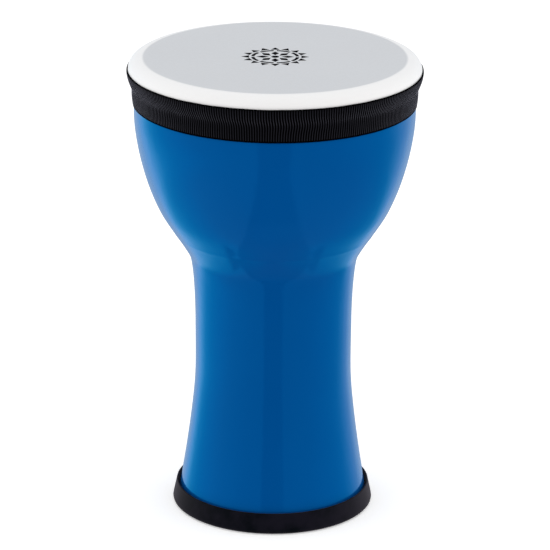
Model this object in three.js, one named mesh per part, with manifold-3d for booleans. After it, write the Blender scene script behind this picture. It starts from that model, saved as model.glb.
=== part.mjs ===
// A small moulded hand drum of the goblet (djembe) form: a one-piece plastic shell with a
// factory-tensioned film head, a ribbed trim band round the rim and a rubber ring on the foot.
// Units are millimetres, +Z is up, and the origin is the centre of the face the drum stands on.

import * as THREE from 'three';
import { mergeVertices } from 'three/addons/utils/BufferGeometryUtils.js';
import Module from 'manifold-3d';

// ---- driving dimensions -------------------------------------------------------------------

const HEIGHT = 322.5; // floor to the playing surface
const HEAD_RADIUS = 100; // outside of the film where the trim band starts
const HEAD_EDGE_HEIGHT = 315; // height of that edge
const PLAYING_RADIUS = 90; // flat part of the head
const FILM = 0.35; // thickness of the drumhead film
const SKIRT_RADIUS = 96.15; // outside of the film where it lies on the shell
const SKIRT_BOTTOM = 294;

const WALL = 3; // shell wall
const FOOT_EDGE_RADIUS = 67; // shell's lower edge, inside the foot ring
const SEAT_HEIGHT = 3.3; // rubber under the shell's lower edge
const NECK_RADIUS = 54.2;
const BOWL_RADIUS = 96.15;
const RECESS_RADIUS = 95.7; // shallow recess that takes the skirt of the head
const RECESS_BOTTOM = 290.4;
const MOUTH_HEIGHT = 303.9; // shell's upper edge

const FOOT_RADIUS = 69.9; // widest part of the rubber foot ring
const FOOT_RING_HEIGHT = 14.8;
const FOOT_LIP = 2.7; // from the shell to the outside of the ring's upper edge
const FOOT_FLANGE = 0.75; // thickness of that upper edge
const FOOT_GROOVE_BOTTOM = 8; // floor of the groove between the upper edge and the shell
const FOOT_INNER_LIP = 2.2;
const FOOT_INNER_HEIGHT = 12;

const BAND_BOTTOM = 290.8;
const BAND_TOP = 314.6;
const TAPE = 0.15; // double-sided tape between the head's skirt and the trim band
const JOIN_GAP = 0.4; // between the two ends of the trim band
const STITCH_WIDTH = 6;
const STITCH_PITCH = 1.4;
const THREAD_RADIUS = 0.25;

const GAP = 0.1; // left between faces that are pressed or glued together
const SIDES = 48; // facets round every turned piece

// ---- colours and finishes -----------------------------------------------------------------

const FINISH = {
  shell: { color: 0x0058a2, roughness: 0.18, metalness: 0 },
  whitePlastic: { color: 0xf2f3f5, roughness: 0.45, metalness: 0 },
  hoop: { color: 0xc9cbd0, roughness: 0.5, metalness: 0 },
  film: { color: 0xd1d2d6, roughness: 0.6, metalness: 0 },
  tape: { color: 0xe4e0d2, roughness: 0.8, metalness: 0 },
  webbing: { color: 0x17171a, roughness: 0.9, metalness: 0 },
  thread: { color: 0x101013, roughness: 0.7, metalness: 0 },
  rubber: { color: 0x14151b, roughness: 0.55, metalness: 0 },
};

// ---- helpers --------------------------------------------------------------------------------

const at = (radius, height) => new THREE.Vector2(radius, height);

// Points of the outline moved sideways by a distance, to its left as it is walked.
function parallel(points, distance) {
  return points.map((point, i) => {
    const before = points[Math.max(i - 1, 0)];
    const after = points[Math.min(i + 1, points.length - 1)];
    const along = after.clone().sub(before).normalize();
    return at(point.x - along.y * distance, point.y + along.x * distance);
  });
}

// Radius of a rising outline at one height.
function radiusAt(points, height) {
  const i = Math.max(points.findIndex((point) => point.y >= height), 1);
  const low = points[i - 1];
  const high = points[i];
  const share = THREE.MathUtils.clamp((height - low.y) / (high.y - low.y), 0, 1);
  return THREE.MathUtils.lerp(low.x, high.x, share);
}

// Turns an outline of (radius, height) points about Z. It goes up on the outside of the piece.
function turned(points) {
  const geometry = new THREE.LatheGeometry(points, SIDES);
  geometry.rotateX(Math.PI / 2);
  return geometry;
}

const closed = (points) => [...points, points[0].clone()];

function piece(name, geometry, finish) {
  const mesh = new THREE.Mesh(geometry, new THREE.MeshStandardMaterial(finish));
  mesh.name = name;
  return mesh;
}

// ---- outlines that several pieces share -----------------------------------------------------

// Outside of the shell up to the recess: flared foot, straight neck, shoulder and bowl.
function shellOutside(steps) {
  const path = new THREE.Path();
  path.moveTo(FOOT_EDGE_RADIUS, SEAT_HEIGHT);
  path.bezierCurveTo(63.3, 15.9, NECK_RADIUS, 78.8, NECK_RADIUS, 99);
  path.lineTo(NECK_RADIUS, 128.7);
  path.bezierCurveTo(NECK_RADIUS, 148, 55.2, 171.3, 57.8, 181);
  path.bezierCurveTo(58.9, 185, 67.5, 197.4, 68.7, 199);
  path.bezierCurveTo(90.8, 228.2, BOWL_RADIUS, 272.3, BOWL_RADIUS, 282.3);
  path.lineTo(BOWL_RADIUS, RECESS_BOTTOM);
  return path.getPoints(steps);
}

// Outside of the film from the bottom of its skirt, over the hoop, to where the band's top edge is.
const SKIRT_LINE = [
  at(SKIRT_RADIUS, SKIRT_BOTTOM),
  at(SKIRT_RADIUS, 301.6),
  at(96.7, 303.2),
  at(97.8, 305.2),
  at(99.2, 309),
  at(HEAD_RADIUS - 0.1, 312.8),
  at(HEAD_RADIUS, HEAD_EDGE_HEIGHT),
];

// Quarter of an ellipse from the head's edge up to the flat playing surface, shrunk by an inset.
function rimCurve(inset, steps) {
  const wide = HEAD_RADIUS - PLAYING_RADIUS - inset;
  const tall = HEIGHT - HEAD_EDGE_HEIGHT - inset;
  const curve = new THREE.EllipseCurve(PLAYING_RADIUS, HEAD_EDGE_HEIGHT, wide, tall, 0, Math.PI / 2);
  return curve.getPoints(steps);
}

// ---- the pieces -----------------------------------------------------------------------------

function shellGeometry() {
  const outside = shellOutside(6);
  const inside = parallel(shellOutside(5), WALL);
  const topInside = inside.at(-1).x;
  inside[0].y = SEAT_HEIGHT;
  inside[0].x = FOOT_EDGE_RADIUS - WALL;
  return turned(closed([
    ...outside,
    at(RECESS_RADIUS, RECESS_BOTTOM),
    at(RECESS_RADIUS, MOUTH_HEIGHT),
    at(topInside, MOUTH_HEIGHT),
    ...inside.reverse(),
  ]));
}

// White ring on the shell's mouth: a spigot inside the shell, and a rounded edge under the film.
function bearingRingGeometry() {
  const spigotOutside = BOWL_RADIUS - WALL - 2 * GAP;
  const spigotInside = spigotOutside - 2.2;
  const flangeRadius = RECESS_RADIUS + 2 * GAP;
  const ledge = HEAD_EDGE_HEIGHT - 0.6;
  const rim = rimCurve(FILM + GAP, 6);
  return turned(closed([
    at(spigotOutside, SKIRT_BOTTOM),
    at(spigotOutside, MOUTH_HEIGHT + GAP),
    at(flangeRadius, MOUTH_HEIGHT + GAP),
    at(flangeRadius, ledge),
    at(rim[0].x, ledge),
    ...rim,
    at(PLAYING_RADIUS - 0.8, rim.at(-1).y),
    at(PLAYING_RADIUS - 0.8, HEAD_EDGE_HEIGHT + 2),
    at(spigotInside, HEAD_EDGE_HEIGHT - 1),
    at(spigotInside, SKIRT_BOTTOM),
  ]));
}

// Hoop that the edge of the film is drawn over, held under the ledge of the bearing ring.
function headHoopGeometry() {
  const inner = RECESS_RADIUS + 4 * GAP;
  const top = HEAD_EDGE_HEIGHT - 0.8;
  const bottom = 305.4;
  const underFilm = parallel(SKIRT_LINE, FILM + GAP);
  return turned(closed([
    at(inner, bottom),
    at(radiusAt(underFilm, bottom) - GAP, bottom),
    at(radiusAt(underFilm, 309), 309),
    at(radiusAt(underFilm, 312.5), 312.5),
    at(radiusAt(underFilm, 312.5), top),
    at(inner, top),
  ]));
}

// Film head: flat playing surface, rounded rim and a skirt down the outside of the shell.
function drumheadGeometry() {
  const outside = [...SKIRT_LINE.slice(0, -1), ...rimCurve(0, 6)];
  const inside = [...parallel(SKIRT_LINE, FILM).slice(0, -1), ...rimCurve(FILM, 6)];
  return turned([
    at(0, HEIGHT - FILM),
    ...inside.reverse(),
    ...outside,
    at(0, HEIGHT),
  ]);
}

// The skirt line carried down to a given height, so that what lies on the film can follow it.
function overSkirt(bottom, top, distance) {
  const line = [at(SKIRT_RADIUS, bottom), ...SKIRT_LINE.slice(1, -1), at(HEAD_RADIUS, top)];
  const moved = parallel(line, -distance);
  moved[0].y = bottom;
  moved.at(-1).y = top;
  return moved;
}

function skirtTapeGeometry() {
  const bottom = BAND_BOTTOM + 1;
  const top = BAND_TOP - 1;
  const inside = overSkirt(bottom, top, GAP / 2);
  const outside = overSkirt(bottom, top, GAP / 2 + TAPE);
  return turned(closed([...outside, ...inside.reverse()]));
}

// Outside of the ribbed band: flat on the skirt, then out over the hoop.
function bandOutside() {
  const line = new THREE.SplineCurve([
    at(97, BAND_BOTTOM),
    at(97.6, 296),
    at(97.85, 302.2),
    at(98.9, 304.9),
    at(100.4, 309),
    at(101.1, 312.8),
    at(100.9, BAND_TOP),
  ]);
  return line.getPoints(12);
}

function solidOf(wasm, geometry) {
  const bare = new THREE.BufferGeometry();
  bare.setAttribute('position', geometry.getAttribute('position'));
  bare.setIndex(geometry.getIndex());
  const merged = mergeVertices(bare, 1e-3);
  return new wasm.Manifold(new wasm.Mesh({
    numProp: 3,
    vertProperties: merged.getAttribute('position').array,
    triVerts: new Uint32Array(merged.getIndex().array),
  }));
}

function geometryOf(solid) {
  const mesh = solid.getMesh();
  const geometry = new THREE.BufferGeometry();
  geometry.setAttribute('position', new THREE.BufferAttribute(mesh.vertProperties, 3));
  geometry.setIndex(new THREE.BufferAttribute(mesh.triVerts, 1));
  return geometry;
}

// A length of webbing wrapped once round the rim, its two ends meeting at the back.
async function trimBandGeometry() {
  const wasm = await Module();
  wasm.setup();
  const inside = overSkirt(BAND_BOTTOM, BAND_TOP, GAP + TAPE + GAP / 2);
  const ring = turned(closed([...bandOutside(), ...inside.reverse()]));
  const join = new THREE.BoxGeometry(JOIN_GAP, HEAD_RADIUS / 4, HEIGHT);
  join.translate(0, HEAD_RADIUS, HEIGHT / 2 + SEAT_HEIGHT);
  return geometryOf(solidOf(wasm, ring).subtract(solidOf(wasm, join)));
}

// Zigzag thread that closes the band's join.
function bandStitchingGeometry() {
  const surface = bandOutside();
  const bottom = BAND_BOTTOM + 2;
  const stitches = 11;
  const route = [];
  for (let i = 0; i <= stitches; i++) {
    const height = bottom + i * STITCH_PITCH;
    const side = (i % 2 ? 1 : -1) * STITCH_WIDTH / 2;
    const reach = radiusAt(surface, height) + THREAD_RADIUS + 2 * GAP;
    const depth = Math.sqrt(reach * reach - side * side);
    route.push(new THREE.Vector3(side, depth, height));
    route.push(new THREE.Vector3(side, depth, height + STITCH_PITCH / 4));
  }
  const section = new THREE.Shape().absarc(0, 0, THREAD_RADIUS, 0, 2 * Math.PI);
  return new THREE.ExtrudeGeometry(section, {
    steps: 2 * route.length,
    curveSegments: 3,
    extrudePath: new THREE.CatmullRomCurve3(route, false, 'catmullrom', 0.2),
  });
}

// Rubber ring of channel section pressed on the shell's lower edge. Its upper edge stands off
// the shell as a thin flange, with a groove behind it.
function footRingGeometry() {
  const shell = shellOutside(6);
  const inner = parallel(shell, WALL);
  const onShell = (height) => radiusAt(shell, height) + GAP;
  const inShell = (height) => radiusAt(inner, height) - GAP;
  const lip = onShell(FOOT_RING_HEIGHT) + FOOT_LIP;
  const toe = new THREE.EllipseCurve(FOOT_RADIUS - 3.6, 2.2, 3.6, 2.2, -Math.PI / 2, 0);
  const floor = SEAT_HEIGHT - GAP;
  return turned(closed([
    at(FOOT_RADIUS - 8.6, 0.6),
    at(FOOT_RADIUS - 8, 0),
    ...toe.getPoints(5),
    at(FOOT_RADIUS - 0.35, 4.2),
    at(lip, FOOT_RING_HEIGHT - 0.3),
    at(lip - 0.25, FOOT_RING_HEIGHT),
    at(lip - FOOT_FLANGE, FOOT_RING_HEIGHT),
    at(lip - FOOT_FLANGE, FOOT_GROOVE_BOTTOM),
    at(onShell(FOOT_GROOVE_BOTTOM), FOOT_GROOVE_BOTTOM),
    at(onShell(floor), floor),
    at(FOOT_EDGE_RADIUS - WALL - GAP, floor),
    at(inShell(FOOT_INNER_HEIGHT), FOOT_INNER_HEIGHT),
    at(inShell(FOOT_INNER_HEIGHT) - FOOT_INNER_LIP, FOOT_INNER_HEIGHT),
  ]));
}

// ---- assembly -------------------------------------------------------------------------------

const drum = new THREE.Group();
drum.add(
  piece('shell', shellGeometry(), FINISH.shell),
  piece('foot_ring', footRingGeometry(), FINISH.rubber),
  piece('bearing_ring', bearingRingGeometry(), FINISH.whitePlastic),
  piece('head_hoop', headHoopGeometry(), FINISH.hoop),
  piece('drumhead', drumheadGeometry(), FINISH.film),
  piece('skirt_tape', skirtTapeGeometry(), FINISH.tape),
  piece('trim_band', await trimBandGeometry(), FINISH.webbing),
  piece('band_stitching', bandStitchingGeometry(), FINISH.thread),
);

export default drum;
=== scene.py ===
import math

import bmesh
import bpy
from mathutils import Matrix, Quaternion, Vector, noise


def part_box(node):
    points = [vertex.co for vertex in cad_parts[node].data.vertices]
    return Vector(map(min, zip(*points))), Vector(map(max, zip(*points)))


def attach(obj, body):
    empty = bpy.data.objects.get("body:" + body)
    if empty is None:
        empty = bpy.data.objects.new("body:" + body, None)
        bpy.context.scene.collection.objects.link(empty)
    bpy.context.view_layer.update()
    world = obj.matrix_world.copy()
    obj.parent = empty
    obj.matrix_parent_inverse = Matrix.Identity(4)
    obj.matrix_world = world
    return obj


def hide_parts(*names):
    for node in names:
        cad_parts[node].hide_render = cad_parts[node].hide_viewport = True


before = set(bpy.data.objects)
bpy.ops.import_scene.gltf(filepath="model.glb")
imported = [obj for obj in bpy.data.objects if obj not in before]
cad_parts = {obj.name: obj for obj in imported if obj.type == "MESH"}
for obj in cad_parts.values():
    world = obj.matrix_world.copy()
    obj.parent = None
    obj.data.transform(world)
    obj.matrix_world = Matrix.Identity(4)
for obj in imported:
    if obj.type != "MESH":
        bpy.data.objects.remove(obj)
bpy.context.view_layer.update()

MM = 0.001
TURN = 2 * math.pi

# ---- driving values -------------------------------------------------------------------------

# Outlines, which are taken from the CAD nodes and rounded.
SAME_PLACE = 0.002 * MM  # points closer than this are one point
ON_AXIS = 0.001 * MM
SHARP_TURN = math.radians(30)  # the CAD's round stretches turn less than this at each point
EDGE_RADIUS = 0.35 * MM  # rounding of sharp moulded edges
EDGE_SHARE = 0.4  # the most of a side that the rounding of one corner takes
LONG_SIDE = 3  # a side this many times as long as its neighbour is a straight
SPAN = 1.6 * MM  # an outline's curved spans are cut to about this
MOST_STEPS = 6  # but into no more parts than this
LEAST_KNOT = 1e-5  # keeps two points in one place from stopping the curve
TURNED_SEGMENTS = 256  # round every smooth turned piece
FACES_IN, FACES_OUT = -0.2, 0.2  # faces_out() below and above these is the inside and the outside

# The trim band.
RIBS = 360  # round the band
RIB_COLUMNS = 4  # mesh columns to a rib
BAND_COLUMNS = RIBS * RIB_COLUMNS
RIB_HEIGHT = 0.32 * MM
RIB_BREADTH = 0.7  # under 1, a rib's crest is broad and the groove beside it narrow
RIBBED_SIDE = (0.05, 0.6)  # the ribs grow from nothing to whole between these values of faces_out()
BAND_EDGE = 0.25 * MM  # rounding of the band's own edges
# The selvedges take the grooves' painted shade, which paints a dark line along each edge of the
# band.
SELVEDGE = 0.75 * MM  # plain woven strip along each edge of the band
SELVEDGE_PLAIN = 0.2  # the share of it that has no ribs at all
SELVEDGE_WAVER = 0.12 * MM  # how far that goes up and down
STEP_LOW, STEP_HIGH = 0.36, 0.72  # where the band climbs over the hoop, as shares of its height
SKEW = 2.4 * MM  # how far the ribs are pulled sideways there
FOLD = 3 * MM  # how far they bend sideways halfway up
FOLD_HEIGHT, FOLD_REACH = 0.52, 0.2  # where that is and its reach, as shares of the band's height
LEAN_CELLS, FOLD_CELLS = 2.1, 1.7  # how quickly skew and fold change on the way round
LEAN_SEED, FOLD_SEED = 4.7, 11.3
LEAN_SHARE = 0.9  # how much of its noise the skew takes
PUCKER = 0.22 * MM  # how deep the step is puckered at most
PUCKER_CELLS, PUCKER_RISE = 9, 70  # how quickly that changes on the way round, and up, per metre
JOIN_ANGLE = math.pi / 2  # the band's ends meet at the back
JOIN_CALM = 0.25  # radians on each side of the join in which the ribs come upright
JOIN_GAP = 0.06 * MM  # between the band's two ends, which its stitches pull together
YARN_PITCH = 0.55 * MM  # of the yarn that crosses each rib
RIB_LAYERS = ("rib_crest", "rib_along", "rib_number")  # what the mesh tells the webbing's material

# The stitching.
STITCHES = 11
STITCH_WIDTH = 6 * MM
SPARE_PITCH = 0.25  # of a stitch's height, left free at the top
STITCH_SIDES, STITCH_STEPS = 10, 18
THREAD_RADIUS = 0.25 * MM
THREAD_CORE = 0.86 * THREAD_RADIUS  # the thread's mean radius, between its plies' swell
THREAD_LIFT, THREAD_DIVE = 1.15, 1.5  # radii off the webbing in a stitch's middle, lost at its ends
DIVE_SHARPNESS = 6  # higher keeps more of a stitch on top
PLY_SWELL = 0.16  # how much a ply stands out from the thread's core
PLY_PASSES = 7  # how often a ply comes round to the same side of a stitch

# The head and its print.
PLAYING_RADIUS = 90 * MM  # the film is grey inside this and white outside it
FILM_BLUR, FILM_WAVER = 1.1 * MM, 0.5 * MM  # of the line between them
INK = 0.05 * MM  # thickness of the print
INK_CLEARANCE = 0.01 * MM  # between the film and the print
ROSETTE_ARMS = 8
MIDDLE_DOT = 2.6 * MM
DOT_STEP = 15  # degrees between its corners
PETAL_INSIDE, PETAL_OUTSIDE, PETAL_WIDTH = 4.2 * MM, 12.8 * MM, 5.2 * MM
RING_RADIUS, RING_WIDTH = 15.2 * MM, 2.2 * MM
RING_BREAK = 4  # degrees left open at each end of a piece of the ring
ARC_STEPS = 12
WEDGE_INSIDE, WEDGE_OUTSIDE, WEDGE_WIDTH = 17.8 * MM, 23 * MM, 6 * MM

# Colours, in linear light. A pair is what a piece's colour varies between.
SHELL_BLUE = (0.0, 0.078, 0.305), (0.0, 0.0815, 0.315)
SHELL_SPECK = (0.0, 0.093, 0.34)
INSIDE_BLUE = (0.0, 0.055, 0.22), (0.0, 0.075, 0.28)
FILM_GREY = (0.655, 0.66, 0.675), (0.69, 0.696, 0.711)
FILM_FIBRE = (0.638, 0.643, 0.656)
FILM_WHITE = (0.915, 0.905, 0.9), (0.94, 0.93, 0.925)
INK_BLACK = (0.004, 0.004, 0.005), (0.014, 0.014, 0.016)
# The webbing's two blacks are painted light: a painted shade for its grooves and selvedges, and a
# painted highlight for its crests.
GROOVE_PAINTED_SHADE = (0.0006, 0.0006, 0.0008), (0.0012, 0.0011, 0.0014)
CREST_PAINTED_HIGHLIGHT = (0.005, 0.0054, 0.0078), (0.019, 0.019, 0.025)
THREAD_BLACK = (0.004, 0.004, 0.005), (0.02, 0.02, 0.023)
RUBBER_BLACK = (0.0008, 0.0018, 0.0034), (0.0062, 0.0058, 0.0105)
RUBBER_PIT = (0.009, 0.009, 0.012)
RING_WHITE = (0.84, 0.85, 0.86), (0.88, 0.885, 0.89)
HOOP_GREY = (0.55, 0.56, 0.58), (0.6, 0.61, 0.63)
TAPE_CREAM = (0.74, 0.72, 0.62), (0.8, 0.78, 0.68)
FLOOR_WHITE = (0.95, 0.95, 0.95), (0.965, 0.965, 0.965)
WHITE = (1, 1, 1)

# The shell's gloss, set for its look under the panels below. Real ABS has an index of about 1.5.
SHELL_IOR = 2.0
SHELL_TINT = (0.02, 0.65, 1.0)

CAMERA_DISTANCE = 2.52
CAMERA_PITCH = math.radians(19.12)
CAMERA_ROLL = math.radians(0.4)
CAMERA_LENS, CAMERA_SENSOR = 238.1, 36
CAMERA_AIM = Vector((0.0009, 0, 0.16573))
CAMERA_CLIP = (0.1, 50)

# Light levels are what a white surface facing the light would show. Below, a pair of directions
# is a start and an end on x, y or z, where x is to the right, y backward, z up, and 1 is straight
# that way.
OVERHEAD_LEVEL = 0.1
OVERHEAD_SPREAD = math.radians(60)
BASE_LEVEL, SIDE_LEVEL = 0.74, 0.55  # from the front and back, and what the sides add
FLOOR_BOOST = 1.1  # how many times stronger the light is from below
FLOOR_BOOST_ENDS = (-0.3, 0.1)  # z between which that fades
FLOOR_GLOW = 0.33  # what the floor gives off itself
FLOOR_RADIUS = 8
FLOOR_SEGMENTS = 96

# What the gloss reflects, by degrees from the front: blue panels, paler and whiter behind.
GLOSS_PANELS = {
    0: (0.07, 0.069, 0.11),
    30: (0.075, 0.077, 0.115),
    60: (0.05, 0.11, 0.165),
    80: (0.02, 0.16, 0.25),
    100: (0.01, 0.22, 0.32),
    115: (0.03, 0.3, 0.43),
    125: (0.12, 0.41, 0.58),
    135: (0.25, 0.47, 0.69),
    145: (0.31, 0.46, 0.63),
    155: (0.3, 0.4, 0.52),
    165: (0.25, 0.33, 0.43),
    172: (0.17, 0.24, 0.34),
    180: (0.11, 0.18, 0.28),
}
PANEL_STRENGTH = 1.9
PANELS_END = (0.05, 0.11)  # y between which the panels stop, low down
PANELS_LOW = (-0.88, -0.93)  # z between which that begins
GAP_AHEAD, GAP_BELOW = 0.24, 0.34  # the dark gap's half-width as a share of its distance
GAP_BLUR = 0.025
GAP_BEHIND = (0.1, 0.3)  # y between which the gap ends
GAP_LEVEL, FLOOR_LEVEL = 0.12, 0.45  # in the gap and where the floor fills it, in panel strengths
FLOOR_SEEN = (-0.84, -0.87)  # z between which it does
# How far the left panels come forward and the right ones go back, low down and level.
LEFT_SHIFT = (math.radians(5), math.radians(-12))
LEFT_SHIFT_ENDS = (-0.5, -0.26)  # z between which that changes from the first to the second
LEFT_BOOST = 0.38  # how much stronger the left panels are, and weaker the right ones
LEFT_BOOST_ENDS = (0.65, 0.85)  # y between which that fades
LOW_TURN = math.radians(17)  # how much further back all panels start, low down
LOW_TURN_ENDS = (-0.62, -0.44)  # z between which that fades


# ---- outlines -------------------------------------------------------------------------------


def cad_outline(node):
    """(radius, height) points in order round the section of a turned CAD node, with the
    material on the left. An outline that reaches the axis starts and ends there."""
    mesh = bmesh.new()
    mesh.from_mesh(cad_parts[node].data)
    bmesh.ops.remove_doubles(mesh, verts=mesh.verts, dist=SAME_PLACE)
    section = [v for v in mesh.verts if abs(v.co.y) < SAME_PLACE and v.co.x > -SAME_PLACE]
    beside = {}
    for v in section:
        others = [edge.other_vert(v) for edge in v.link_edges]
        beside[v] = [o for o in others if o in section]
    order = [min(section, key=lambda v: (len(beside[v]), v.co.z, v.co.x))]
    while True:
        onward = [v for v in beside[order[-1]] if v not in order]
        if not onward:
            break
        order.append(onward[0])
    points = [Vector((max(v.co.x, 0.0), v.co.z)) for v in order]
    mesh.free()
    area = sum(a.x * b.y - b.x * a.y for a, b in zip(points, points[1:] + points[:1]))
    return points if area > 0 else points[::-1]


def reaches_axis(points):
    return points[0].x < ON_AXIS and points[-1].x < ON_AXIS


def neighbours(points, i):
    """The points before and after one of them, or None at an end on the axis."""
    if reaches_axis(points) and i in (0, len(points) - 1):
        return None
    return points[i - 1], points[(i + 1) % len(points)]


def ease_corners(points, radius):
    """Rounds every sharp corner of an outline."""
    eased = []
    for i, here in enumerate(points):
        sides = neighbours(points, i)
        if sides is None:
            eased.append(here)
            continue
        arrive, leave = here - sides[0], sides[1] - here
        if abs(arrive.angle_signed(leave, 0)) < SHARP_TURN:
            eased.append(here)
            continue
        start = here - arrive.normalized() * min(radius, EDGE_SHARE * arrive.length)
        end = here + leave.normalized() * min(radius, EDGE_SHARE * leave.length)
        for share in (0, 0.25, 0.5, 0.75, 1):
            eased.append(start.lerp(here, share).lerp(here.lerp(end, share), share))
    return eased


def hold_straights(points):
    """Adds a point near a long straight's end where a short span follows, so that a curve
    through the points leaves the straight alone."""
    held = []
    count = len(points)
    last = count - 1 if reaches_axis(points) else count
    lengths = [(points[(i + 1) % count] - points[i]).length for i in range(count)]
    for i in range(count):
        held.append(points[i])
        if i >= last:
            continue
        along = (points[(i + 1) % count] - points[i]).normalized()
        before, after = lengths[i - 1], lengths[(i + 1) % count]
        if lengths[i] > LONG_SIDE * before and before > 0:
            held.append(points[i] + along * before)
        if lengths[i] > LONG_SIDE * after and after > 0:
            held.append(points[(i + 1) % count] - along * after)
    return held


def on_curve(before, start, end, after, share):
    """A point on the centripetal Catmull-Rom curve from start to end."""
    knots = [0.0]
    for a, b in ((before, start), (start, end), (end, after)):
        knots.append(knots[-1] + max(math.sqrt((b - a).length), LEAST_KNOT))
    t = knots[1] + share * (knots[2] - knots[1])
    row = [before, start, end, after]
    for reach in (1, 2, 3):
        for i in range(4 - reach):
            if reach == 1:
                low, high = knots[i], knots[i + 1]
            elif reach == 2:
                low, high = knots[i], knots[i + 2]
            else:
                low, high = knots[1], knots[2]
            row[i] = row[i].lerp(row[i + 1], (t - low) / (high - low))
    return row[0]


def smooth(points):
    """The outline with its curved stretches filled in."""
    filled = []
    count = len(points)
    ends = reaches_axis(points)
    for i in range(count):
        start = points[i]
        filled.append(start)
        if ends and i == count - 1:
            break
        end = points[(i + 1) % count]
        before = start * 2 - end if ends and i == 0 else points[i - 1]
        after = end * 2 - start if ends and i == count - 2 else points[(i + 2) % count]
        steps = min(MOST_STEPS, math.ceil((end - start).length / SPAN))
        for step in range(1, steps):
            filled.append(on_curve(before, start, end, after, step / steps))
    return filled


def moulded_outline(node, radius=EDGE_RADIUS):
    return smooth(hold_straights(ease_corners(cad_outline(node), radius)))


def faces_out(outline, i):
    """How far an outline's side at one point faces away from the axis, from -1 to 1."""
    along = outline[(i + 1) % len(outline)] - outline[i - 1]
    return along.normalized().y


# ---- mesh making ----------------------------------------------------------------------------


def around(angle, radius, height):
    """A place given by its angle round the axis, its distance from it and its height."""
    return (radius * math.cos(angle), radius * math.sin(angle), height)


def smoothstep(low, high, value):
    share = min(max((value - low) / (high - low), 0.0), 1.0)
    return share * share * (3 - 2 * share)


def finish_mesh(name, mesh, materials, smooth_shading=True):
    """Turns a bmesh into a piece that rides on the frame."""
    bmesh.ops.recalc_face_normals(mesh, faces=mesh.faces)
    data = bpy.data.meshes.new(name)
    mesh.to_mesh(data)
    mesh.free()
    for material in materials:
        data.materials.append(material)
    if smooth_shading:
        data.shade_smooth()
    piece = bpy.data.objects.new(name, data)
    bpy.context.scene.collection.objects.link(piece)
    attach(piece, "root")
    return piece


def add_ring(mesh, point):
    """What one point of an outline is turned into. On the axis it is one vertex, repeated."""
    if point.x < ON_AXIS:
        return [mesh.verts.new((0, 0, point.y))] * TURNED_SEGMENTS
    angles = [TURN * k / TURNED_SEGMENTS for k in range(TURNED_SEGMENTS)]
    return [mesh.verts.new(around(angle, point.x, point.y)) for angle in angles]


def turned(name, node, material, inside=None):
    """A smooth piece turned from a CAD node's outline. Its inside can have its own material."""
    outline = moulded_outline(node)
    mesh = bmesh.new()
    rings = [add_ring(mesh, point) for point in outline]
    spans = len(outline) - 1 if reaches_axis(outline) else len(outline)
    for i in range(spans):
        low, high = rings[i], rings[(i + 1) % len(rings)]
        slot = 1 if inside and faces_out(outline, i) < FACES_IN else 0
        for k in range(TURNED_SEGMENTS):
            after = (k + 1) % TURNED_SEGMENTS
            corners = [low[k], low[after], high[after], high[k]]
            face = mesh.faces.new(list(dict.fromkeys(corners)))
            face.material_index = slot
    piece = finish_mesh(name, mesh, [material, inside] if inside else [material])
    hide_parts(node)


# ---- looks ----------------------------------------------------------------------------------


class Nodes:
    """Short ways to add shader nodes to a tree."""

    def __init__(self, tree):
        self.tree = tree

    def node(self, kind, inputs=(), **settings):
        made = self.tree.nodes.new("ShaderNode" + kind)
        for setting, value in settings.items():
            setattr(made, setting, value)
        for socket, value in dict(inputs).items():
            self.feed(made.inputs[socket], value)
        return made

    def feed(self, socket, value):
        """Sets a socket to a value, or links an output to it. A colour comes without alpha."""
        if isinstance(value, bpy.types.NodeSocket):
            self.tree.links.new(value, socket)
        elif socket.type == "RGBA":
            socket.default_value = (*value, 1)
        else:
            socket.default_value = value

    def place(self):
        return self.node("TexCoord").outputs["Object"]

    def attribute(self, name):
        return self.node("Attribute", attribute_name=name).outputs["Fac"]

    def grain(self, scale, detail=2.0, roughness=0.5, stretch=(1, 1, 1)):
        """Noise from 0 to 1 with so many cells to the metre."""
        moved = self.node("Mapping", {"Vector": self.place(), "Scale": stretch})
        noise_inputs = {
            "Vector": moved.outputs[0],
            "Scale": scale,
            "Detail": detail,
            "Roughness": roughness,
        }
        return self.node("TexNoise", noise_inputs).outputs[0]

    def ramp(self, value, low=0.3, high=0.7, out_low=0.0, out_high=1.0, kind="SMOOTHSTEP"):
        """Goes from one output to the other as a value goes from low to high. Most of a grain
        lies between 0.3 and 0.7."""
        inputs = {"Value": value, "From Min": low, "From Max": high}
        inputs |= {"To Min": out_low, "To Max": out_high}
        return self.node("MapRange", inputs, interpolation_type=kind).outputs[0]

    def math(self, operation, a, b=0.0, c=0.0):
        made = self.node("Math", operation=operation)
        for socket, value in zip(made.inputs, (a, b, c)):
            self.feed(socket, value)
        return made.outputs[0]

    def mix(self, share, a, b):
        made = self.node("Mix", data_type="RGBA")
        sockets = [s for s in made.inputs if s.enabled]
        for socket, value in zip(sockets, (share, a, b)):
            self.feed(socket, value)
        return next(s for s in made.outputs if s.enabled)

    def bump(self, height, distance, strength=1.0, over=None):
        inputs = {"Height": height, "Distance": distance, "Strength": strength}
        if over is not None:
            inputs["Normal"] = over
        return self.node("Bump", inputs).outputs[0]

    def background(self, colour, strength=1.0):
        return self.node("Background", {"Color": colour, "Strength": strength}).outputs[0]


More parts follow.
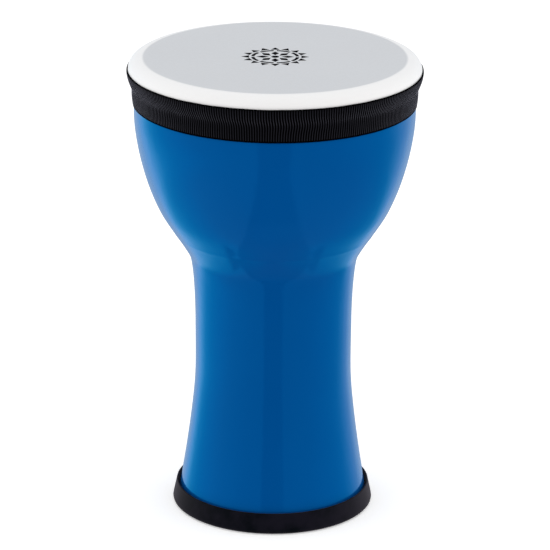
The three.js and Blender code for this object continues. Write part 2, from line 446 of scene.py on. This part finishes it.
class Look(Nodes):
    """A material built from shader nodes round one Principled shader."""

    def __init__(self, name, **sockets):
        self.material = bpy.data.materials.new(name)
        self.material.use_nodes = True
        super().__init__(self.material.node_tree)
        self.shader = self.tree.nodes["Principled BSDF"]
        self.set(**sockets)

    def set(self, **sockets):
        """Sets sockets that are the same all over."""
        for socket, value in sockets.items():
            self.feed(self.shader.inputs[socket.replace("_", " ")], value)

    def drive(self, socket, value):
        self.feed(self.shader.inputs[socket], value)

    def colour(self, share, a, b):
        self.drive("Base Color", self.mix(share, a, b))

    def roughen(self, grain, smoothest, roughest, high=0.7):
        self.drive("Roughness", self.ramp(grain, high=high, out_low=smoothest, out_high=roughest))

    def relief(self, height, distance, over=None):
        """Fine relief, on top of another bump's if that is given."""
        self.drive("Normal", self.bump(height, distance, over=over))


def shell_look():
    """Glossy blue plastic with faint clouds, specks, wiping marks and orange peel."""
    look = Look("shell_gloss", IOR=SHELL_IOR, Specular_Tint=SHELL_TINT)
    cloud = look.ramp(look.grain(14, detail=3))
    speck = look.ramp(look.grain(900, detail=1), 0.68, 0.8, out_high=0.25)
    look.colour(speck, look.mix(cloud, *SHELL_BLUE), SHELL_SPECK)
    smear = look.grain(38, detail=5, roughness=0.65, stretch=(1, 1, 0.35))
    look.roughen(smear, 0.06, 0.11, high=0.75)
    peel = look.bump(look.grain(190, detail=2), 0.06 * MM)
    look.relief(look.grain(1500, detail=2), 0.006 * MM, over=peel)
    return look.material


def shell_inside_look():
    """The same plastic as it left the mould's core, matt and darker."""
    look = Look("shell_inside", IOR=1.5)
    look.colour(look.grain(30, detail=4), *INSIDE_BLUE)
    look.roughen(look.grain(120, detail=3), 0.45, 0.6)
    look.relief(look.grain(700, detail=3), 0.04 * MM)
    return look.material


def film_look():
    """Milky film, grey over the hollow drum and white where the bearing ring backs it."""
    look = Look("head_film", IOR=1.5, Specular_IOR_Level=0.3)
    flat = look.node("VectorMath", {0: look.place(), 1: (1, 1, 0)}, operation="MULTIPLY")
    radius = look.node("VectorMath", {0: flat.outputs[0]}, operation="LENGTH").outputs["Value"]
    waver = look.ramp(look.grain(26, detail=2), 0, 1, -FILM_WAVER, FILM_WAVER, "LINEAR")
    reach = look.math("ADD", radius, waver)
    backed = look.ramp(reach, PLAYING_RADIUS - FILM_BLUR, PLAYING_RADIUS + FILM_BLUR)
    fibre = look.grain(520, detail=3, roughness=0.7)
    grey = look.mix(look.grain(9, detail=4, roughness=0.6), *FILM_GREY)
    grey = look.mix(look.ramp(fibre, 0.35, 0.75, out_high=0.35), grey, FILM_FIBRE)
    look.colour(backed, grey, look.mix(fibre, *FILM_WHITE))
    look.roughen(fibre, 0.52, 0.66)
    look.relief(look.grain(2400, detail=2), 0.012 * MM)
    return look.material


def ink_look():
    look = Look("print_ink", Specular_IOR_Level=0.0)
    look.colour(look.grain(1300, detail=3), *INK_BLACK)
    look.roughen(look.grain(400), 0.45, 0.6)
    look.relief(look.grain(2600, detail=2), 0.01 * MM)
    return look.material


def webbing_look():
    """Black ribbed webbing: each crest has a painted highlight and each groove painted shade, the
    crests carry sheen, and the yarn crosses each rib.
    """
    look = Look("webbing", Specular_IOR_Level=0.0)
    look.set(Sheen_Roughness=0.38, Sheen_Tint=(0.82, 0.83, 1))
    crest, along, number = (look.attribute(name) for name in RIB_LAYERS)
    # lit picks out each crest, which gets the painted highlight colour; the rest gets the painted
    # groove shade.
    lit = look.ramp(crest, 0.78, 0.98)
    fluff = look.grain(1800, detail=3, roughness=0.7)
    painted_groove_shade = look.mix(look.grain(60, detail=3), *GROOVE_PAINTED_SHADE)
    look.colour(lit, painted_groove_shade, look.mix(fluff, *CREST_PAINTED_HIGHLIGHT))
    worn = look.ramp(look.grain(40), out_low=0.85)
    look.drive("Sheen Weight", look.math("MULTIPLY", lit, worn))
    look.roughen(fluff, 0.72, 0.9)
    offset = look.math("MULTIPLY", look.math("FLOOR", number), math.pi)
    phase = look.math("ADD", look.math("MULTIPLY", along, TURN / YARN_PITCH), offset)
    weave = look.bump(look.math("SINE", phase), 0.05 * MM, strength=0.8)
    look.relief(fluff, 0.05 * MM, over=weave)
    return look.material


def thread_look():
    look = Look("sewing_thread", Specular_IOR_Level=0.1, Sheen_Weight=0.06)
    twist = look.grain(2600, detail=1, stretch=(1, 1, 2.5))
    look.colour(twist, *THREAD_BLACK)
    look.roughen(twist, 0.55, 0.75)
    look.relief(twist, 0.08 * MM)
    return look.material


def rubber_look():
    """Matt black rubber, faintly mottled and pitted."""
    look = Look("foot_rubber", Specular_IOR_Level=0.0)
    look.set(Sheen_Weight=0.17, Sheen_Roughness=0.46, Sheen_Tint=(0.95, 0.9, 1))
    mottle = look.ramp(look.grain(45, detail=4, roughness=0.6), 0.36, 0.64)
    pits = look.grain(1400, detail=2)
    pitted = look.ramp(pits, 0.62, 0.8, out_high=0.3)
    look.colour(pitted, look.mix(mottle, *RUBBER_BLACK), RUBBER_PIT)
    look.roughen(look.grain(160, detail=4), 0.4, 0.55)
    look.relief(pits, 0.03 * MM, over=look.bump(look.grain(220), 0.04 * MM))
    return look.material


def hidden_plastic_look(name, colours):
    """A plain pale surface, for pieces that the film and the band cover."""
    look = Look(name)
    look.colour(look.grain(80, detail=3), *colours)
    look.roughen(look.grain(300, detail=2), 0.4, 0.55)
    look.relief(look.grain(900, detail=2), 0.02 * MM)
    return look.material


# ---- the band -------------------------------------------------------------------------------


def round_noise(angle, cells, level):
    """Noise that joins up after a whole turn, from about -1 to 1."""
    return noise.noise(Vector((cells * math.cos(angle), cells * math.sin(angle), level)))


def rib_sway(angle):
    """How far, from about -1 to 1, the ribs lean over the step and bend halfway up."""
    front = angle + math.pi / 2  # a whole turn at the front, growing to the right
    from_join = abs(math.remainder(angle - JOIN_ANGLE, TURN))
    free = min(1.0, from_join / JOIN_CALM)
    lean = LEAN_SHARE * round_noise(front, LEAN_CELLS, LEAN_SEED)
    bend = round_noise(front, FOLD_CELLS, FOLD_SEED)
    return lean * free, bend * free


def add_column(mesh, layers, outline, box, column):
    """One column of the band's mesh, with the shape of its rib, its folds and its puckers."""
    low, high = box
    gap = JOIN_GAP / high.x
    angle = JOIN_ANGLE + gap / 2 + column / BAND_COLUMNS * (TURN - gap)
    cord = math.sin(math.pi * (column % RIB_COLUMNS) / RIB_COLUMNS) ** RIB_BREADTH
    lean, bend = rib_sway(angle)
    made = []
    for i, point in enumerate(outline):
        rise = (point.y - low.z) / (high.z - low.z)
        over_step = smoothstep(STEP_LOW, STEP_HIGH, rise)
        edge = min(point.y - low.z, high.z - point.y)
        past_selvedge = smoothstep(SELVEDGE_PLAIN * SELVEDGE, SELVEDGE, edge)
        ribbed = past_selvedge * smoothstep(*RIBBED_SIDE, faces_out(outline, i))
        halfway = math.exp(-((rise - FOLD_HEIGHT) / FOLD_REACH) ** 2)
        sway = (SKEW * lean * (over_step - 0.5) + FOLD * bend * halfway) / high.x
        pucker = round_noise(angle, PUCKER_CELLS, PUCKER_RISE * (point.y - low.z))
        dent = RIB_HEIGHT * (1 - cord) * ribbed
        dent += PUCKER * max(0.0, pucker) * 4 * over_step * (1 - over_step)
        height = point.y + SELVEDGE_WAVER * pucker * (1 - past_selvedge)
        vert = mesh.verts.new(around(angle + sway, point.x - dent, height))
        # A selvedge's crest value is nought, so its colour is the groove's painted shade.
        for layer, value in zip(layers, (cord * past_selvedge, point.y, column / RIB_COLUMNS)):
            vert[layer] = value
        made.append(vert)
    return made


def trim_band(material):
    """The ribbed webbing wrapped round the rim, its ends meeting at the back."""
    outline = moulded_outline("trim_band", BAND_EDGE)
    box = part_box("trim_band")
    mesh = bmesh.new()
    layers = [mesh.verts.layers.float.new(name) for name in RIB_LAYERS]
    rows = [add_column(mesh, layers, outline, box, column) for column in range(BAND_COLUMNS + 1)]
    for left, right in zip(rows, rows[1:]):
        for i in range(len(outline)):
            j = (i + 1) % len(outline)
            mesh.faces.new((left[i], right[i], right[j], left[j]))
    for end in (rows[0], rows[-1]):
        bmesh.ops.triangulate(mesh, faces=[mesh.faces.new(end)])
    piece = finish_mesh("trim_band_webbing", mesh, [material])
    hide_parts("trim_band")


def surface_radius(surface, height):
    """How far the band's outside is from the axis at a height."""
    for a, b in zip(surface, surface[1:]):
        if a.y <= height <= b.y and b.y > a.y:
            return a.x + (b.x - a.x) * (height - a.y) / (b.y - a.y)
    return surface[-1].x


def add_stitch(mesh, start, end, surface):
    """One leg of thread: a closed tube that swells like two twisted plies."""
    leg = end - start
    across = Vector((leg.y, 0, -leg.x)).normalized()
    rings = []
    for step in range(STITCH_STEPS + 1):
        share = step / STITCH_STEPS
        flat = start.lerp(end, share)
        sunk = abs(2 * share - 1) ** DIVE_SHARPNESS
        lift = THREAD_RADIUS * (THREAD_LIFT - THREAD_DIVE * sunk)
        reach = surface_radius(surface, flat.y) + lift
        centre = Vector((flat.x, math.sqrt(reach * reach - flat.x * flat.x), flat.y))
        ring = []
        for k in range(STITCH_SIDES):
            angle = TURN * k / STITCH_SIDES
            ply = 1 + PLY_SWELL * math.cos(2 * angle - PLY_PASSES * TURN * share)
            offset = across * math.cos(angle) + Vector((0, 1, 0)) * math.sin(angle)
            ring.append(mesh.verts.new(centre + offset * THREAD_CORE * ply))
        rings.append(ring)
    for a, b in zip(rings, rings[1:]):
        for k in range(STITCH_SIDES):
            after = (k + 1) % STITCH_SIDES
            mesh.faces.new((a[k], a[after], b[after], b[k]))
    mesh.faces.new(rings[0])
    mesh.faces.new(rings[-1])


def stitching(material):
    """Zigzag thread across the band's join. Each leg dives into the webbing at its ends."""
    low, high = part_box("band_stitching")
    band = cad_outline("trim_band")
    surface = [point for i, point in enumerate(band) if faces_out(band, i) > FACES_OUT]
    surface.sort(key=lambda point: point.y)
    pitch = (high.z - low.z - 2 * THREAD_RADIUS) / (STITCHES + SPARE_PITCH)
    mesh = bmesh.new()
    for i in range(STITCHES):
        side = STITCH_WIDTH / 2 if i % 2 else -STITCH_WIDTH / 2
        start = Vector((side, low.z + THREAD_RADIUS + i * pitch))
        end = Vector((-side, start.y + pitch))
        add_stitch(mesh, start, end, surface)
    piece = finish_mesh("band_stitches", mesh, [material])
    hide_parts("band_stitching")


# ---- the print ------------------------------------------------------------------------------


def add_ink(mesh, corners, base):
    """A flat shape of ink with these corners, standing a little above the film."""
    top = [mesh.verts.new((p.x, p.y, base + INK)) for p in corners]
    bottom = [mesh.verts.new((p.x, p.y, base)) for p in corners]
    faces = [mesh.faces.new(top), mesh.faces.new(bottom[::-1])]
    for i in range(len(corners)):
        j = (i + 1) % len(corners)
        mesh.faces.new((bottom[i], bottom[j], top[j], top[i]))
    bmesh.ops.triangulate(mesh, faces=faces)


def heading(degrees):
    return Vector((math.cos(math.radians(degrees)), math.sin(math.radians(degrees))))


def along_arm(degrees, corners):
    """Corners given as (outward, sideways) from the head's centre, turned to face this way."""
    outward, sideways = heading(degrees), heading(degrees + 90)
    return [outward * far + sideways * aside for far, aside in corners]


def petal(degrees):
    middle = (PETAL_INSIDE + PETAL_OUTSIDE) / 2
    half = PETAL_WIDTH / 2
    corners = [(PETAL_INSIDE, 0), (middle, -half), (PETAL_OUTSIDE, 0), (middle, half)]
    return along_arm(degrees, corners)


def wedge(degrees):
    half = WEDGE_WIDTH / 2
    return along_arm(degrees, [(WEDGE_INSIDE, -half), (WEDGE_OUTSIDE, 0), (WEDGE_INSIDE, half)])


def arc(start, stop):
    """Corners of one piece of the broken ring."""
    headings = [heading(start + (stop - start) * i / ARC_STEPS) for i in range(ARC_STEPS + 1)]
    outer = [way * (RING_RADIUS + RING_WIDTH / 2) for way in headings]
    inner = [way * (RING_RADIUS - RING_WIDTH / 2) for way in headings]
    return outer + inner[::-1]


def dot():
    return [heading(degrees) * MIDDLE_DOT for degrees in range(0, 360, DOT_STEP)]


def head_print(material):
    """A plain round ornament in the middle of the head: petals, a broken ring and wedges."""
    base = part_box("drumhead")[1].z + INK_CLEARANCE
    step = 360 / ROSETTE_ARMS
    mesh = bmesh.new()
    add_ink(mesh, dot(), base)
    for i in range(ROSETTE_ARMS):
        add_ink(mesh, petal(i * step), base)
        add_ink(mesh, arc(i * step + RING_BREAK, (i + 1) * step - RING_BREAK), base)
        add_ink(mesh, wedge(i * step), base)
        add_ink(mesh, wedge((i + 0.5) * step), base)
    piece = finish_mesh("head_print", mesh, [material], smooth_shading=False)


# ---- studio ---------------------------------------------------------------------------------


def aim(thing, place, target, roll):
    thing.location = place
    turn = (Vector(target) - Vector(place)).to_track_quat("-Z", "Y")
    thing.rotation_mode = "QUATERNION"
    thing.rotation_quaternion = turn @ Quaternion((0, 0, 1), roll)


def camera():
    data = bpy.data.cameras.new("camera")
    data.lens = CAMERA_LENS
    data.sensor_width = CAMERA_SENSOR
    data.clip_start, data.clip_end = CAMERA_CLIP
    thing = bpy.data.objects.new("camera", data)
    bpy.context.scene.collection.objects.link(thing)
    back = Vector((0, -math.cos(CAMERA_PITCH), math.sin(CAMERA_PITCH)))
    aim(thing, CAMERA_AIM + back * CAMERA_DISTANCE, CAMERA_AIM, CAMERA_ROLL)
    bpy.context.scene.camera = thing


def overhead():
    """Wide, even light from above. It whitens what faces up and leaves no glint."""
    data = bpy.data.lights.new("overhead", "SUN")
    data.angle = OVERHEAD_SPREAD
    data.energy = math.pi * OVERHEAD_LEVEL
    thing = bpy.data.objects.new("overhead", data)
    bpy.context.scene.collection.objects.link(thing)
    thing.visible_glossy = False


def panel_colour(sky, x, y, z):
    """The panels' colour in a direction, by how far round from the front that is."""
    azimuth = sky.math("ABSOLUTE", sky.math("ARCTAN2", x, sky.math("MULTIPLY", y, -1)))
    left_shift = sky.ramp(z, *LEFT_SHIFT_ENDS, *LEFT_SHIFT, kind="LINEAR")
    low_turn = sky.ramp(z, *LOW_TURN_ENDS, LOW_TURN, 0)
    turned_back = sky.math("MULTIPLY_ADD", x, left_shift, low_turn)
    shifted = sky.math("SUBTRACT", azimuth, turned_back)
    panels = sky.node("ValToRGB", {0: sky.math("DIVIDE", shifted, math.pi)})
    stops = panels.color_ramp.elements  # a new ramp has one at each end
    for degrees, colour in GLOSS_PANELS.items():
        stop = {0: stops[0], 180: stops[-1]}.get(degrees) or stops.new(degrees / 180)
        stop.color = (*colour, 1)
    return panels.outputs[0]


def panel_strength(sky, x, y, z):
    """How strongly the panels show. They leave a dark gap in front and below, end behind low
    down, and are stronger on the left."""
    gap_ahead = sky.math("MULTIPLY", y, -GAP_AHEAD)
    gap_below = sky.math("MULTIPLY", z, -GAP_BELOW)
    gap_edge = sky.math("MAXIMUM", gap_ahead, gap_below)
    past_edge = sky.math("SUBTRACT", sky.math("ABSOLUTE", x), gap_edge)
    beside_gap = sky.ramp(past_edge, -GAP_BLUR, GAP_BLUR)
    out_of_gap = sky.math("MAXIMUM", beside_gap, sky.ramp(y, *GAP_BEHIND))
    past_panels = sky.math("MULTIPLY", sky.ramp(y, *PANELS_END), sky.ramp(z, *PANELS_LOW))
    on_panels = sky.math("MULTIPLY", out_of_gap, sky.math("SUBTRACT", 1, past_panels))
    left_boost = sky.ramp(y, *LEFT_BOOST_ENDS, -LEFT_BOOST * PANEL_STRENGTH, 0)
    uneven = sky.math("MULTIPLY_ADD", x, left_boost, PANEL_STRENGTH)
    of_panels = sky.math("MULTIPLY", on_panels, uneven)
    in_gap = sky.ramp(z, *FLOOR_SEEN, GAP_LEVEL, FLOOR_LEVEL)
    of_gap = sky.math("MULTIPLY", in_gap, PANEL_STRENGTH)
    return sky.math("MAXIMUM", of_gap, of_panels)


def ambient_strength(sky, x, z):
    """Nearly even light, a little stronger from both sides and from below."""
    sides = sky.math("MULTIPLY_ADD", sky.math("POWER", x, 2), SIDE_LEVEL, BASE_LEVEL)
    return sky.math("MULTIPLY", sides, sky.ramp(z, *FLOOR_BOOST_ENDS, FLOOR_BOOST, 1))


def surroundings():
    """The studio's walls: white to the camera, soft light for all that isn't a reflection, and
    blue panels for what the gloss reflects."""
    world = bpy.data.worlds.new("studio")
    bpy.context.scene.world = world
    world.use_nodes = True
    sky = Nodes(world.node_tree)
    sky.tree.nodes.clear()
    direction = sky.node("SeparateXYZ", {0: sky.node("TexCoord").outputs["Generated"]})
    x, y, z = direction.outputs
    white = sky.background(WHITE)
    ambient = sky.background(WHITE, ambient_strength(sky, x, z))
    gloss = sky.background(panel_colour(sky, x, y, z), panel_strength(sky, x, y, z))
    rays = sky.node("LightPath").outputs
    lit = sky.node("MixShader", {0: rays["Is Glossy Ray"], 1: ambient, 2: gloss}).outputs[0]
    shown = sky.node("MixShader", {0: rays["Is Camera Ray"], 1: lit, 2: white}).outputs[0]
    sky.node("OutputWorld", {0: shown})


def floor():
    """A pale floor that catches the drum's shadow and neither lights nor mirrors in the drum."""
    look = Look("studio_floor", Roughness=0.9, Specular_IOR_Level=0.1)
    look.set(Emission_Color=WHITE, Emission_Strength=FLOOR_GLOW)
    look.colour(look.grain(2), *FLOOR_WHITE)
    mesh = bmesh.new()
    bmesh.ops.create_circle(mesh, cap_ends=True, segments=FLOOR_SEGMENTS, radius=FLOOR_RADIUS)
    data = bpy.data.meshes.new("floor")
    mesh.to_mesh(data)
    mesh.free()
    data.materials.append(look.material)
    ground = bpy.data.objects.new("floor", data)
    bpy.context.scene.collection.objects.link(ground)
    ground.visible_glossy = False
    ground.visible_diffuse = False
    ground.visible_shadow = False


def studio():
    bpy.context.scene.view_settings.view_transform = "Standard"
    surroundings()
    floor()
    overhead()


# ---- the drum -------------------------------------------------------------------------------

turned("shell_body", "shell", shell_look(), inside=shell_inside_look())
turned("foot_ring_rubber", "foot_ring", rubber_look())
turned("bearing_ring_moulding", "bearing_ring", hidden_plastic_look("white_plastic", RING_WHITE))
turned("head_hoop_moulding", "head_hoop", hidden_plastic_look("hoop_plastic", HOOP_GREY))
turned("drumhead_film", "drumhead", film_look())
turned("skirt_tape_strip", "skirt_tape", hidden_plastic_look("adhesive_tape", TAPE_CREAM))
trim_band(webbing_look())
stitching(thread_look())
head_print(ink_look())

camera()
studio()
